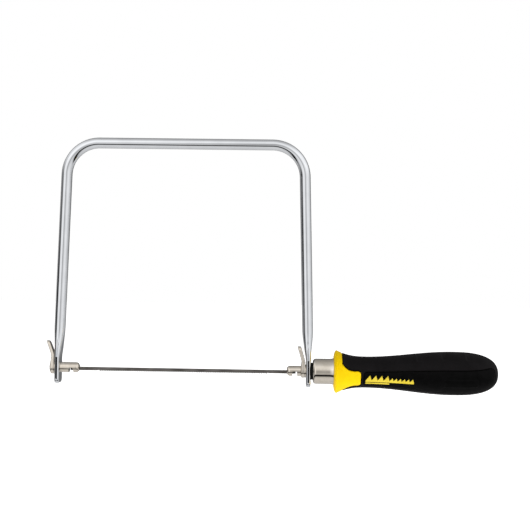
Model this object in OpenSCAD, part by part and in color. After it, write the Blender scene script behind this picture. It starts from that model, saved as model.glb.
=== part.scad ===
// Coping saw: a bent rod frame, a pin-ended blade held by two turning spigots,
// and a screwed handle that pulls the rear spigot to tension the blade.
//
// The working axis (spigots, blade and handle) is the X axis, with the handle
// towards +X and the frame's back towards +Z. The origin is the middle of the
// handle moulding.

/* [Frame] */
// Diameter of the frame rod
rod_d = 7.9; // [6:0.1:9]
// Height of the top bar's centreline above the working axis
frame_depth = 165; // [120:1:200]
// Clear distance between the flattened leg ends
leg_gap = 180; // [178:0.5:186]
// Lean of each leg, outwards towards its end, in degrees
leg_splay = 1.7; // [0.5:0.1:3]
// Centreline radius of the two bends
bend_r = 24; // [15:0.5:40]
// Thickness of a flattened leg end
paddle_t = 3.5; // [3:0.1:4.5]
// Width of a flattened leg end
paddle_w = 12.5; // [11:0.1:16]
// How far a leg end reaches below the working axis
paddle_drop = 11.3; // [9:0.1:14]
// Height at which the rod starts to flatten
swage_top = 29; // [22:0.5:40]
// Height at which the leg end is fully flat
swage_bottom = 6.6; // [6.4:0.1:10]

/* [Blade] */
// Distance between the blade's two cross pins
blade_pins = 162; // [158:0.5:164]
// Length of blade past each cross pin
blade_tail = 1.6; // [1:0.1:2.2]
// Height of the blade, teeth included
blade_h = 3.1; // [2:0.1:3.2]
// Thickness of the blade
blade_t = 0.5; // [0.4:0.05:0.7]
// Length of the toothed stretch
toothed_len = 124; // [80:1:140]
// Distance from tooth to tooth
tooth_pitch = 1.69; // [1.2:0.01:3]
// Depth of the teeth
tooth_h = 0.9; // [0.5:0.05:1]
// Diameter of a cross pin
pin_d = 1.5; // [1.2:0.1:1.7]
// Length of a cross pin
pin_len = 6.4; // [5:0.1:7]

/* [Spigots and levers] */
// Diameter of the spigot bodies
spigot_d = 7.4; // [7:0.1:8]
// Distance from the cross pin to the tip of the spigot's nose
nose_len = 5; // [4:0.1:7]
// Diameter of the front spigot's shank
front_shank_d = 5; // [4:0.1:5.5]
// Diameter of the rear spigot's shank, over its thread
rear_shank_d = 6; // [5:0.1:6.5]
// Radial clearance between a shank and the leg that it turns in
running_gap = 0.08; // [0.02:0.01:0.1]
// Gap left between flat faces that turn on each other
face_gap = 0.03; // [0.02:0.01:0.1]
// Thickness of the thin washer beside each lever
lever_washer_t = 0.5; // [0.4:0.1:0.8]
// Radius of a lever's round eye
lever_eye_r = 4.9; // [4.4:0.1:5.4]
// Thickness of the front lever
front_lever_t = 2.9; // [2:0.1:3]
// Thickness of the rear lever's eye
rear_lever_t = 3.1; // [2.6:0.1:3.4]
// Height of the front lever's tip above the working axis
front_lever_len = 19.5; // [16:0.1:24]
// Height of the rear lever's tip above the working axis
rear_lever_len = 18; // [16:0.1:24]
// Radius of a lever's tip, seen along the working axis
lever_tip_r = 2.7; // [2:0.1:3.2]
// Lean of the front lever's upper part, in degrees
front_lever_lean = 20; // [0:1:22]
// Lean of the rear lever's upper part, in degrees
rear_lever_lean = 16; // [0:1:20]
// Pitch of the rear spigot's thread
thread_pitch = 1; // [0.75:0.25:1.25]

/* [Handle] */
// Length of the handle moulding
handle_len = 119.3; // [100:0.1:130]
// Outer diameter of the metal ferrule
ferrule_d = 18.4; // [17:0.1:20]
// Length of the ferrule
ferrule_len = 15; // [12:0.5:20]
// Wall thickness of the ferrule
ferrule_wall = 0.8; // [0.6:0.1:1.2]
// Diameter of the thrust washer
thrust_d = 12.4; // [11:0.1:14]
// Thickness of the thrust washer
thrust_t = 1.5; // [1:0.1:2.5]
// Diameter of the handle over its front flange
flange_d = 31.2; // [28:0.1:34]
// Diameter of the handle at its neck
neck_d = 22.6; // [20:0.1:25]
// Diameter of the handle at its belly
belly_d = 31.6; // [28:0.1:36]
// Thickness of the soft sleeve
sleeve_t = 3; // [2.6:0.1:3.4]
// Thickness of the textured side pads
pad_t = 1.2; // [1:0.1:1.4]
// Angle at which the tightened handle comes to rest, in degrees
handle_clock = 23; // [0:1:90]

/* [Hidden] */
$fn = 96;

// Stations along the working axis, from the handle's middle
handle_x0 = -handle_len / 2;
handle_x1 = handle_len / 2;
ferrule_x0 = handle_x0 - ferrule_len;
thrust_x0 = ferrule_x0 - thrust_t;
rear_face_x = thrust_x0;
frame_mid = rear_face_x - paddle_t - leg_gap / 2;
leg_x = leg_gap / 2 + paddle_t / 2;
rear_pin_x = frame_mid + blade_pins / 2;
front_pin_x = frame_mid - blade_pins / 2;
rear_inner_x = frame_mid + leg_gap / 2;
front_inner_x = frame_mid - leg_gap / 2;
front_outer_x = front_inner_x - paddle_t;
blade_z = -1.1;

// Frame: where the straight of a leg ends and its bend starts
bend_cz = frame_depth - bend_r;
leg_top_z = bend_cz + bend_r * sin(leg_splay);
bend_cx = leg_x - leg_top_z * tan(leg_splay) - bend_r * cos(leg_splay);
// The bends are drawn a little thinner, and the straights run a little into them
bend_draw = 0.1;
bend_overlap = 0.5;

// Handle: stations of the outline
rim_x = handle_x0 + 2;
neck_x = handle_x0 + 23;
belly_x = handle_x0 + 86.5;
sleeve_x0 = handle_x0 + 6;
tongue_end = handle_x0 + 19.6;
pad_x0 = handle_x0 + 21.4;
pad_x1 = handle_x1 - 3.6;
label_x1 = handle_x0 + 59.3;
butt_power = 2.6;
flare_power = 2.4;
mould_gap = 0.02;
insert_x0 = ferrule_x0 + 3;
insert_len = 14;
insert_af = 10;
shank_end = handle_x0 + 18;

// ---- Helpers ------------------------------------------------------------

// A cylinder along the working axis from x0 to x1
module x_rod(d, x0, x1) {
    translate([x0, 0, 0]) rotate([0, 90, 0]) cylinder(d = d, h = x1 - x0);
}

// A turned piece about the working axis, from [x, radius] points
module x_turned(outline) {
    rotate([0, 90, 0]) rotate_extrude() polygon([for (p = outline) [p[1], p[0]]]);
}

// A flat outline in X and Z, given thickness along Y
module side_plate(y0, y1) {
    translate([0, y1, 0]) rotate([90, 0, 0]) linear_extrude(y1 - y0) children();
}

// Points along a circular arc
function arc(cx, cy, r, a0, a1, steps) =
    [for (i = [0:steps]) let (a = a0 + (a1 - a0) * i / steps) [cx + r * cos(a), cy + r * sin(a)]];

// ---- Frame --------------------------------------------------------------

// The slab that a swaged leg end lies in: flat below, as thick as the rod above
module swage_slab() {
    r = rod_d / 2 + 0.15;
    top = swage_top + 1;
    half = paddle_t / 2;
    side_plate(-paddle_w, paddle_w) polygon([
        [leg_x - half, -paddle_drop - 1],
        [leg_x + half, -paddle_drop - 1],
        [leg_x + half, swage_bottom],
        [leg_x - top * sin(leg_splay) + r * cos(leg_splay), top],
        [leg_x - top * sin(leg_splay) - r * cos(leg_splay), top],
        [leg_x - half, swage_bottom]
    ]);
}

// The widening and rounded end of a swaged leg, as a body of revolution
module swage_width() {
    w = paddle_w / 2;
    corner = 3;
    translate([leg_x, 0, 0]) rotate([0, -leg_splay, 0]) rotate_extrude() polygon(concat(
        [[0, -paddle_drop]],
        arc(w - corner, -paddle_drop + corner, corner, -90, 0, 6),
        [[w, swage_bottom + 3], [rod_d / 2, swage_top], [0, swage_top]]
    ));
}

module leg() {
    intersection() {
        swage_slab();
        swage_width();
    }
    translate([leg_x, 0, 0]) rotate([0, -leg_splay, 0]) translate([0, 0, swage_top])
        cylinder(d = rod_d, h = leg_top_z / cos(leg_splay) - swage_top + bend_overlap);
    translate([bend_cx, 0, bend_cz]) rotate([90, 0, 0]) rotate([0, 0, leg_splay])
        rotate_extrude(angle = 90 - leg_splay) translate([bend_r, 0]) circle(d = rod_d - bend_draw);
}

module frame_bow() {
    color("gainsboro") translate([frame_mid, 0, 0]) difference() {
        union() {
            leg();
            mirror([1, 0, 0]) leg();
            translate([0, 0, frame_depth]) x_rod(rod_d, -bend_cx - bend_overlap, bend_cx + bend_overlap);
        }
        x_rod(front_shank_d + 2 * running_gap, -leg_x - paddle_t, -leg_x + paddle_t);
        x_rod(rear_shank_d + 2 * running_gap, leg_x - paddle_t, leg_x + paddle_t);
    }
}

// ---- Blade --------------------------------------------------------------

module blade() {
    top = blade_z + blade_h / 2;
    root = blade_z - blade_h / 2 + tooth_h;
    half = blade_pins / 2 + blade_tail;
    teeth = floor(toothed_len / tooth_pitch);
    start = -teeth * tooth_pitch / 2;
    color("dimgray") translate([frame_mid, 0, 0]) side_plate(-blade_t / 2, blade_t / 2)
        difference() {
            polygon(concat(
                [[half, top], [-half, top], [-half, root - 0.3], [start - 1, root - 0.3]],
                [for (i = [0:teeth - 1], side = [0, 1])
                    [start + (i + side * 0.62) * tooth_pitch, root - side * tooth_h]],
                [[start + teeth * tooth_pitch, root], [start + teeth * tooth_pitch + 1, root - 0.3],
                    [half, root - 0.3]]
            ));
            for (x = [-1, 1] * blade_pins / 2) translate([x, blade_z]) circle(d = pin_d, $fn = 32);
        }
}

module blade_pin(x) {
    translate([x, pin_len / 2, blade_z]) rotate([90, 0, 0]) cylinder(d = pin_d, h = pin_len, $fn = 32);
}

module blade_pin_front() {
    color("darkgray") blade_pin(front_pin_x);
}

module blade_pin_rear() {
    color("darkgray") blade_pin(rear_pin_x);
}

// ---- Spigots ------------------------------------------------------------

// What is cut from a spigot so that a blade end drops in from below. It is drawn
// for a cross pin at x = 0 with the nose towards -X.
module blade_seat() {
    notch_x0 = -pin_d / 2 - 0.06;
    notch_x1 = notch_x0 + 3.4;
    notch_r = 1;
    translate([-nose_len - 1, -0.4, -spigot_d]) cube([nose_len + 4.2, 0.8, spigot_d + 0.75]);
    side_plate(-spigot_d, spigot_d) polygon(concat(
        [[notch_x1, -spigot_d], [notch_x0, -spigot_d]],
        arc(notch_x0 + notch_r, blade_z, notch_r, 180, 90, 6),
        arc(notch_x1 - notch_r, blade_z, notch_r, 90, 0, 6)
    ));
}

// The round body of a spigot, nose at x = -nose_len, shoulder at x1
module spigot_body(x1) {
    r = spigot_d / 2;
    nose_r = 2.4;
    x_turned(concat(
        [[-nose_len, 0]],
        [for (p = arc(-nose_len + nose_r, r - nose_r, nose_r, 180, 90, 6)) p],
        [[x1, r], [x1, 0]]
    ));
}

// A shank's stretch with two flats, which a lever's eye is pressed on
module flatted_rod(d, x0, x1, gap = 0) {
    across = d - 1 + 2 * gap;
    intersection() {
        x_rod(d + 2 * gap, x0, x1);
        translate([x0, -across / 2, -d]) cube([x1 - x0, across, 2 * d]);
    }
}

module front_spigot() {
    face = front_pin_x - front_inner_x;
    shoulder = face - face_gap;
    lever_x = face + paddle_t + lever_washer_t;
    head_x = lever_x + front_lever_t;
    color("silver") translate([front_pin_x, 0, 0]) mirror([1, 0, 0]) {
        difference() {
            spigot_body(shoulder);
            blade_seat();
        }
        x_rod(front_shank_d, shoulder, lever_x);
        flatted_rod(front_shank_d, lever_x, head_x);
        x_turned([[head_x, 0], [head_x, 3.8], [head_x + 0.5, 3.3], [head_x + 1, 0]]);
    }
}

module rear_spigot() {
    shoulder = rear_inner_x - rear_lever_t - lever_washer_t - rear_pin_x;
    lever_x = shoulder + rear_lever_t;
    thread_x = thrust_x0 + thrust_t + 2 - rear_pin_x;
    end_x = shank_end - rear_pin_x;
    turns = floor((end_x - thread_x) / thread_pitch);
    root_d = rear_shank_d - 1.1 * thread_pitch;
    color("silver") translate([rear_pin_x, 0, 0]) {
        difference() {
            spigot_body(shoulder);
            blade_seat();
        }
        flatted_rod(rear_shank_d, shoulder, lever_x);
        x_rod(rear_shank_d, lever_x, thread_x);
        x_turned(concat(
            [[thread_x, 0]],
            [for (i = [0:turns - 1], half = [0, 1])
                [thread_x + (i + half / 2) * thread_pitch, (half == 0 ? rear_shank_d : root_d) / 2]],
            [[thread_x + turns * thread_pitch, root_d / 2], [thread_x + turns * thread_pitch, 0]]
        ));
    }
}

// ---- Levers -------------------------------------------------------------

// A pear-shaped tab with a round eye at the axis, leaning towards -X above its
// knee. It stands on x = 0 with its thickness t towards +X.
module lever(t, len, lean, knee, shank_d) {
    tip_r = (t - 0.3) / 2;
    tip_z = len - tip_r;
    tip_x = t / 2 - (tip_z - knee) * tan(lean);
    crown_z = len - lever_tip_r;
    taper = asin((lever_eye_r - lever_tip_r) / crown_z);
    difference() {
        intersection() {
            rotate([90, 0, 90]) translate([0, 0, -len]) linear_extrude(2 * len) polygon(concat(
                arc(0, 0, lever_eye_r, 180 - taper, 360 + taper, 24),
                arc(0, crown_z, lever_tip_r, taper, 180 - taper, 12)
            ));
            side_plate(-lever_eye_r - 1, lever_eye_r + 1) polygon(concat(
                [[0, -lever_eye_r - 1], [t, -lever_eye_r - 1], [t, knee]],
                arc(tip_x, tip_z, tip_r, lean, lean + 180, 8),
                [[0, knee]]
            ));
        }
        flatted_rod(shank_d, -1, t + 1, mould_gap);
    }
}

module front_lever() {
    color("silver") translate([front_outer_x - lever_washer_t - front_lever_t, 0, 0])
        lever(front_lever_t, front_lever_len, front_lever_lean, 8, front_shank_d);
}

module rear_lever() {
    color("silver") translate([rear_inner_x - lever_washer_t - rear_lever_t, 0, 0])
        lever(rear_lever_t, rear_lever_len, rear_lever_lean, 6, rear_shank_d);
}

module washer(od, id, x0, t) {
    difference() {
        x_rod(od, x0, x0 + t);
        x_rod(id, x0 - 1, x0 + t + 1);
    }
}

module front_washer() {
    color("silver") washer(9, front_shank_d + 2 * running_gap, front_outer_x - lever_washer_t, lever_washer_t - face_gap);
}

module rear_washer() {
    color("silver") washer(9.4, rear_shank_d + 2 * running_gap, rear_inner_x - lever_washer_t, lever_washer_t - face_gap);
}

// ---- Handle -------------------------------------------------------------

// Radius of the handle's outside at station x
function handle_r(x) =
    x < neck_x ? neck_d / 2 + (flange_d - neck_d) / 2 * pow((neck_x - x) / (neck_x - rim_x), flare_power) :
    x < belly_x ? neck_d / 2 + (belly_d - neck_d) / 4 * (1 - cos(180 * (x - neck_x) / (belly_x - neck_x))) :
    belly_d / 2 * pow(1 - pow((x - belly_x) / (handle_x1 - belly_x), butt_power), 1 / butt_power);

// Stations along the handle from x0 to x1, closer together towards the butt
function stations(x0, x1) = concat(
    [x0],
    [for (x = [rim_x:3:neck_x - 1]) if (x > x0 && x < x1) x],
    [for (x = [neck_x:6.35:belly_x - 1]) if (x > x0 && x < x1) x],
    [for (a = [0:9:81]) let (x = belly_x + (handle_x1 - belly_x) * sin(a)) if (x > x0 && x < x1) x],
    [x1]
);

// The handle's outside from x0 to x1, sunk by d
module handle_shape(x0, x1, d = 0) {
    x_turned(concat([[x0, 0]], [for (x = stations(x0, x1)) [x, max(0, handle_r(x) - d)]], [[x1, 0]]));
}

// Outline of a core tongue, flaring into the flange
module tongue_outline(grow = 0) {
    half = 5.9 + grow;
    end = tongue_end + grow;
    corner = 2.6;
    flare = [for (i = [0:6]) let (t = i / 6)
        [sleeve_x0 + 9 * t, half + 0.2 + 1.1 * (1 - t) + 4 * pow(1 - t, 2.5)]];
    polygon(concat(
        [[sleeve_x0 - 2, -half - 5]],
        [for (p = flare) [p[0], -p[1]]],
        arc(end - corner, -half + corner, corner, -90, 0, 5),
        arc(end - corner, half - corner, corner, 0, 90, 5),
        [for (i = [6:-1:0]) flare[i]],
        [[sleeve_x0 - 2, half + 5]]
    ));
}

// Outline of a side pad: narrow at the neck, wide over the belly
module pad_outline(grow = 0) {
    n = 14;
    edge = [for (i = [0:n]) let (t = i / n, x = pad_x0 + (pad_x1 - pad_x0) * t)
        [x, 5.4 + 1.85 * (1 - cos(min(t, 0.7) / 0.7 * 180)) - (i == n ? 3.5 : 0) + grow]];
    polygon(concat(edge, [for (i = [n:-1:0]) [edge[i][0], -edge[i][1]]]));
}

// The three shallow grooves across the top of the grip
module top_grooves() {
    difference() {
        for (i = [0:2]) let (x = belly_x - 25 + 17.6 * i) linear_extrude(belly_d) {
            translate([x - 1.9, -5]) square([3.8, 10]);
            for (y = [-5, 5]) translate([x, y]) circle(r = 1.9, $fn = 32);
        }
        handle_shape(handle_x0 + 40, handle_x1 - 3, 0.6);
    }
}

module clocked() {
    rotate([handle_clock, 0, 0]) children();
}

module thrust_washer() {
    color("black") washer(thrust_d, rear_shank_d + 2 * running_gap, thrust_x0 + face_gap, thrust_t - 2 * face_gap);
}

module ferrule() {
    r = ferrule_d / 2;
    corner = 2.2;
    front_t = 1.2;
    hole = rear_shank_d / 2 + 0.15;
    color("silver") x_turned(concat(
        [[ferrule_x0, hole]],
        arc(ferrule_x0 + corner, r - corner, corner, 180, 90, 6),
        [[handle_x0, r], [handle_x0, r - ferrule_wall], [ferrule_x0 + front_t, r - ferrule_wall],
            [ferrule_x0 + front_t, hole]]
    ));
}

module threaded_insert() {
    color("goldenrod") difference() {
        translate([insert_x0, 0, 0]) rotate([0, 90, 0])
            cylinder(r = insert_af / 2 / cos(30), h = insert_len, $fn = 6);
        x_rod(rear_shank_d + 0.2, insert_x0 - 1, insert_x0 + insert_len + 1);
    }
}

module handle_core() {
    nose_r = ferrule_d / 2 - ferrule_wall - mould_gap;
    color("gold") clocked() difference() {
        union() {
            x_rod(2 * nose_r, ferrule_x0 + 1.2 + mould_gap, handle_x0 + 1);
            x_turned(concat(
                [[handle_x0, 0], [handle_x0, ferrule_d / 2 + 0.6]],
                [for (a = [20:35:90]) [handle_x0 + 2 * (1 - cos(a)),
                    ferrule_d / 2 + 0.6 + (flange_d - ferrule_d - 1.2) / 2 * sin(a)]],
                [for (x = stations(rim_x + 1, sleeve_x0 - mould_gap)) [x, handle_r(x)]],
                [[sleeve_x0 - mould_gap, 0]]
            ));
            handle_shape(sleeve_x0 - 1, handle_x1 - 4, sleeve_t + mould_gap);
            intersection() {
                handle_shape(sleeve_x0 - 1, neck_x);
                union() {
                    side_plate(5, flange_d) tongue_outline(-mould_gap);
                    side_plate(-flange_d, -5) tongue_outline(-mould_gap);
                }
            }
        }
        x_rod(rear_shank_d + 0.6, ferrule_x0, shank_end + 3);
        rotate([-handle_clock, 0, 0]) translate([insert_x0, 0, 0]) rotate([0, 90, 0])
            cylinder(r = insert_af / 2 / cos(30) + mould_gap, h = insert_len, $fn = 6);
    }
}

module grip_sleeve() {
    color([0.1, 0.1, 0.1]) clocked() difference() {
        handle_shape(sleeve_x0, handle_x1);
        handle_shape(sleeve_x0 - 2, handle_x1 - 4, sleeve_t);
        side_plate(5, flange_d) tongue_outline();
        side_plate(-flange_d, -5) tongue_outline();
        difference() {
            union() {
                side_plate(5, flange_d) pad_outline();
                side_plate(-flange_d, -5) pad_outline();
            }
            handle_shape(neck_x - 4, handle_x1 - 1, pad_t + mould_gap);
        }
        top_grooves();
    }
}

// A soft pad let into the sleeve's side, with a pocket for its mark
module side_pad() {
    intersection() {
        difference() {
            handle_shape(neck_x - 4, handle_x1);
            handle_shape(neck_x - 5, handle_x1 - 1, pad_t);
        }
        side_plate(-flange_d, -5) pad_outline(-mould_gap);
    }
}

// The generic mark on a pad: a bar under a row of coarse and fine saw teeth
module mark_outline() {
    coarse = 4.25;
    fine = 2.88;
    translate([pad_x0 + 1.4, 0]) {
        translate([0, -3.8]) square([4 * coarse, 1.2]);
        polygon(concat(
            [[0, -2]],
            [for (i = [0:3], q = [0, 1]) [(i + 0.75 * q) * coarse, -0.6 + 3.9 * q]],
            [for (i = [0:5], q = [0, 1]) [4 * coarse + (i + 0.75 * q) * fine, -0.6 + 2.4 * q]],
            [[4 * coarse + 6 * fine, -0.6], [4 * coarse + 6 * fine, -2]]
        ));
    }
}

module side_mark() {
    intersection() {
        difference() {
            handle_shape(pad_x0, label_x1);
            handle_shape(pad_x0 - 1, label_x1 + 1, 0.4);
        }
        side_plate(-flange_d, -5) mark_outline();
    }
}

module mark_pocket() {
    difference() {
        side_plate(-flange_d, -5) mark_outline();
        handle_shape(pad_x0 - 1, label_x1 + 1, 0.4);
    }
}

module side_pad_left() {
    color([0.13, 0.13, 0.13]) clocked() difference() {
        side_pad();
        mark_pocket();
    }
}

module side_pad_right() {
    color([0.13, 0.13, 0.13]) clocked() mirror([0, 1, 0]) difference() {
        side_pad();
        mark_pocket();
    }
}

module side_mark_left() {
    color("gold") clocked() side_mark();
}

module side_mark_right() {
    color("gold") clocked() mirror([0, 1, 0]) side_mark();
}

frame_bow();
front_spigot();
front_lever();
front_washer();
rear_spigot();
rear_lever();
rear_washer();
blade();
blade_pin_front();
blade_pin_rear();
thrust_washer();
ferrule();
threaded_insert();
handle_core();
grip_sleeve();
side_pad_left();
side_pad_right();
side_mark_left();
side_mark_right();
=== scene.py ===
import math

import bmesh
import bpy
from mathutils import Matrix, Vector


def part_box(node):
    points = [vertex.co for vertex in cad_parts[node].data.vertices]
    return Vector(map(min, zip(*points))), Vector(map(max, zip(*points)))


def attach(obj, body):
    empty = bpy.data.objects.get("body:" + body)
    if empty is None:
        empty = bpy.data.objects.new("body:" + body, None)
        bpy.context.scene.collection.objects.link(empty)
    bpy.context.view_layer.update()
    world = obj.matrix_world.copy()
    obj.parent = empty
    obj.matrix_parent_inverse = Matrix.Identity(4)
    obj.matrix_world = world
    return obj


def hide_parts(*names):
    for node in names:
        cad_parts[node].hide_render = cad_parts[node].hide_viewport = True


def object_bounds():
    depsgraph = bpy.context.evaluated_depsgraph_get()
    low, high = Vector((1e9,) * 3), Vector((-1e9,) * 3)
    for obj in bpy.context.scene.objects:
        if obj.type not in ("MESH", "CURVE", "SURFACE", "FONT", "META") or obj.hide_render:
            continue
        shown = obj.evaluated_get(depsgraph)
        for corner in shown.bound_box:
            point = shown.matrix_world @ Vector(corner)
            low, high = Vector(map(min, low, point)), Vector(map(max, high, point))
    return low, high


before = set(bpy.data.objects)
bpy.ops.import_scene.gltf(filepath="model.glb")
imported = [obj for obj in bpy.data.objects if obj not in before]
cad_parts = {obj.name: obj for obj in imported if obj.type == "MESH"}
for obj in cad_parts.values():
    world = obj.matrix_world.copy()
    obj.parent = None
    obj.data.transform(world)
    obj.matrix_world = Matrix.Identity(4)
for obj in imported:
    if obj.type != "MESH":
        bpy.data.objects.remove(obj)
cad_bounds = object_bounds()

MM = 0.001
SEGMENTS = 96
WELD = 1e-7


# ---- Places, read from the frame ---------------------------------------------

def span(node, axis=0):
    """Where a CAD node starts and ends along an axis."""
    low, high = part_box(node)
    return low[axis], high[axis]


blade_x0, blade_x1 = span("blade")
blade_z0, blade_z1 = span("blade", 2)
blade_z = (blade_z0 + blade_z1) / 2
mid_x = (blade_x0 + blade_x1) / 2
front_pin_x = sum(span("blade_pin_front")) / 2
rear_pin_x = sum(span("blade_pin_rear")) / 2
bow_z0, bow_z1 = span("frame_bow", 2)
ferrule_x0, ferrule_x1 = span("ferrule")
ferrule_r = span("ferrule", 2)[1]
insert_x0, insert_x1 = span("threaded_insert")
handle_x0 = ferrule_x1
sleeve_x0, handle_x1 = span("grip_sleeve")
flange_r = span("handle_core", 2)[1]
pad_x0, pad_x1 = span("side_pad_left")
mark_x0 = span("side_mark_left")[0]

# Sizes that the boxes don't give, as in the CAD model
ROD_R = 3.95 * MM
PADDLE_T = 3.5 * MM
PADDLE_W = 12.5 * MM
SWAGE_TOP = 29 * MM
SWAGE_BOTTOM = 6.6 * MM
LEG_SPLAY = math.radians(1.7)
BEND_R = 24 * MM
SPIGOT_R = 3.7 * MM
NOSE_LEN = 5 * MM
NOSE_R = 2.4 * MM
FRONT_SHANK_R = 2.5 * MM
REAR_SHANK_R = 3 * MM
FRONT_LEVER_T = 2.9 * MM
REAR_LEVER_T = 3.1 * MM
THREAD_PITCH = 1 * MM
FACE_GAP = 0.03 * MM
RUNNING_GAP = 0.08 * MM
NECK_R = 11.3 * MM
SLEEVE_T = 3 * MM
PAD_T = 1.2 * MM
CLOCK = math.radians(23)

# The outer faces of the leg ends, and how far a leg end's middle is from the frame's
front_face = span("front_washer")[1] + FACE_GAP
rear_face = span("thrust_washer")[0] - FACE_GAP
paddle_x = (rear_face - front_face) / 2 - PADDLE_T / 2


# ---- Mesh helpers ------------------------------------------------------------

def finish_mesh(bm, name, sharp=35):
    """A new object from a bmesh, smooth but for edges sharper than the angle."""
    bmesh.ops.remove_doubles(bm, verts=bm.verts, dist=WELD)
    bmesh.ops.recalc_face_normals(bm, faces=bm.faces)
    for face in bm.faces:
        face.smooth = True
    for edge in bm.edges:
        edge.smooth = len(edge.link_faces) != 2 or edge.calc_face_angle(0) < math.radians(sharp)
    mesh = bpy.data.meshes.new(name)
    bm.to_mesh(mesh)
    bm.free()
    piece = bpy.data.objects.new(name, mesh)
    bpy.context.scene.collection.objects.link(piece)
    return piece


def loft(name, rings, loop=False, sharp=35):
    """A closed skin through rings of points. The ends are capped, or joined if loop."""
    bm = bmesh.new()
    rows = [[bm.verts.new(p) for p in ring] for ring in rings]
    count = len(rows[0])
    pairs = list(zip(rows, rows[1:] + rows[:1] if loop else rows[1:]))
    for a, b in pairs:
        for i in range(count):
            j = (i + 1) % count
            bm.faces.new((a[i], a[j], b[j], b[i]))
    if not loop:
        for row in (rows[0], rows[-1]):
            centre = bm.verts.new(sum((v.co for v in row), Vector()) / count)
            for i in range(count):
                bm.faces.new((row[i], row[(i + 1) % count], centre))
    return finish_mesh(bm, name, sharp)


def circle(x, r, segments=SEGMENTS):
    """A ring of points about the working axis."""
    turn = 2 * math.pi / segments
    return [(x, r * math.cos(i * turn), r * math.sin(i * turn)) for i in range(segments)]


def turned(name, outline, loop=False, segments=SEGMENTS, sharp=35):
    """A piece turned about the working axis, from (x, radius) points."""
    return loft(name, [circle(x, r, segments) for x, r in outline], loop, sharp)


def arc(cx, cy, r, start, end, count):
    """Points on an arc in so many steps, angles in degrees."""
    angles = [math.radians(start + (end - start) * i / count) for i in range(count + 1)]
    return [(cx + r * math.cos(a), cy + r * math.sin(a)) for a in angles]


def smooth(t):
    """From 0 to 1 as t goes from 0 to 1, level at both ends."""
    t = min(1, max(0, t))
    return t * t * (3 - 2 * t)


def mix(a, b, t):
    """From a to b as t goes from 0 to 1."""
    return a + (b - a) * t


def steps(a, b, size):
    """Even stations from a to b, b left out, about size apart."""
    count = max(1, round((b - a) / size))
    return [a + (b - a) * i / count for i in range(count)]


def cutter(name, low, high):
    """A box between two corners."""
    bm = bmesh.new()
    bmesh.ops.create_cube(bm, size=1)
    for v in bm.verts:
        v.co = Vector(mix(a, b, c + 0.5) for a, b, c in zip(low, high, v.co))
    return finish_mesh(bm, name)


def rod_cutter(name, start, end, r, segments=48):
    """A round bar between two points."""
    bm = bmesh.new()
    start, end = Vector(start), Vector(end)
    bmesh.ops.create_cone(bm, cap_ends=True, segments=segments, radius1=r, radius2=r,
                          depth=(end - start).length)
    turn = (end - start).to_track_quat("Z", "Y").to_matrix().to_4x4()
    bmesh.ops.transform(bm, matrix=Matrix.Translation((start + end) / 2) @ turn, verts=bm.verts)
    return finish_mesh(bm, name)


def carve(piece, tools, sharp=35):
    """Cuts the tools from the piece and removes them."""
    for tool in tools:
        cut = piece.modifiers.new("cut", "BOOLEAN")
        cut.operation, cut.solver, cut.object = "DIFFERENCE", "EXACT", tool
    bpy.context.view_layer.update()
    result = piece.evaluated_get(bpy.context.evaluated_depsgraph_get())
    bm = bmesh.new()
    bm.from_mesh(result.to_mesh())
    name = piece.name
    for old in [piece, *tools]:
        bpy.data.objects.remove(old)
    return finish_mesh(bm, name, sharp)


def joined(name, parts, sharp=35):
    """One piece made of several closed ones."""
    bm = bmesh.new()
    for part in parts:
        bm.from_mesh(part.data)
        bpy.data.objects.remove(part)
    return finish_mesh(bm, name, sharp)


def soften(piece, width, segments=2, angle=40):
    """Rounds the edges that are sharper than the angle."""
    bevel = piece.modifiers.new("soft edges", "BEVEL")
    bevel.width, bevel.segments = width, segments
    bevel.limit_method, bevel.angle_limit = "ANGLE", math.radians(angle)
    bevel.use_clamp_overlap = True


def place(piece, body, slot, material, *nodes):
    """The piece rides on its body and stands for its CAD nodes."""
    piece.data.materials.clear()
    piece.data.materials.append(material)
    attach(piece, body)
    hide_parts(*nodes)


# ---- Materials ---------------------------------------------------------------

def feed(tree, node, **sockets):
    """Links or sets a node's sockets, by name or as socket0, socket1 and so on."""
    for name, value in sockets.items():
        socket = node.inputs[int(name[6:]) if name.startswith("socket") else name.replace("_", " ")]
        if isinstance(value, bpy.types.NodeSocket):
            tree.links.new(value, socket)
        else:
            socket.default_value = value
    return node


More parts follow.
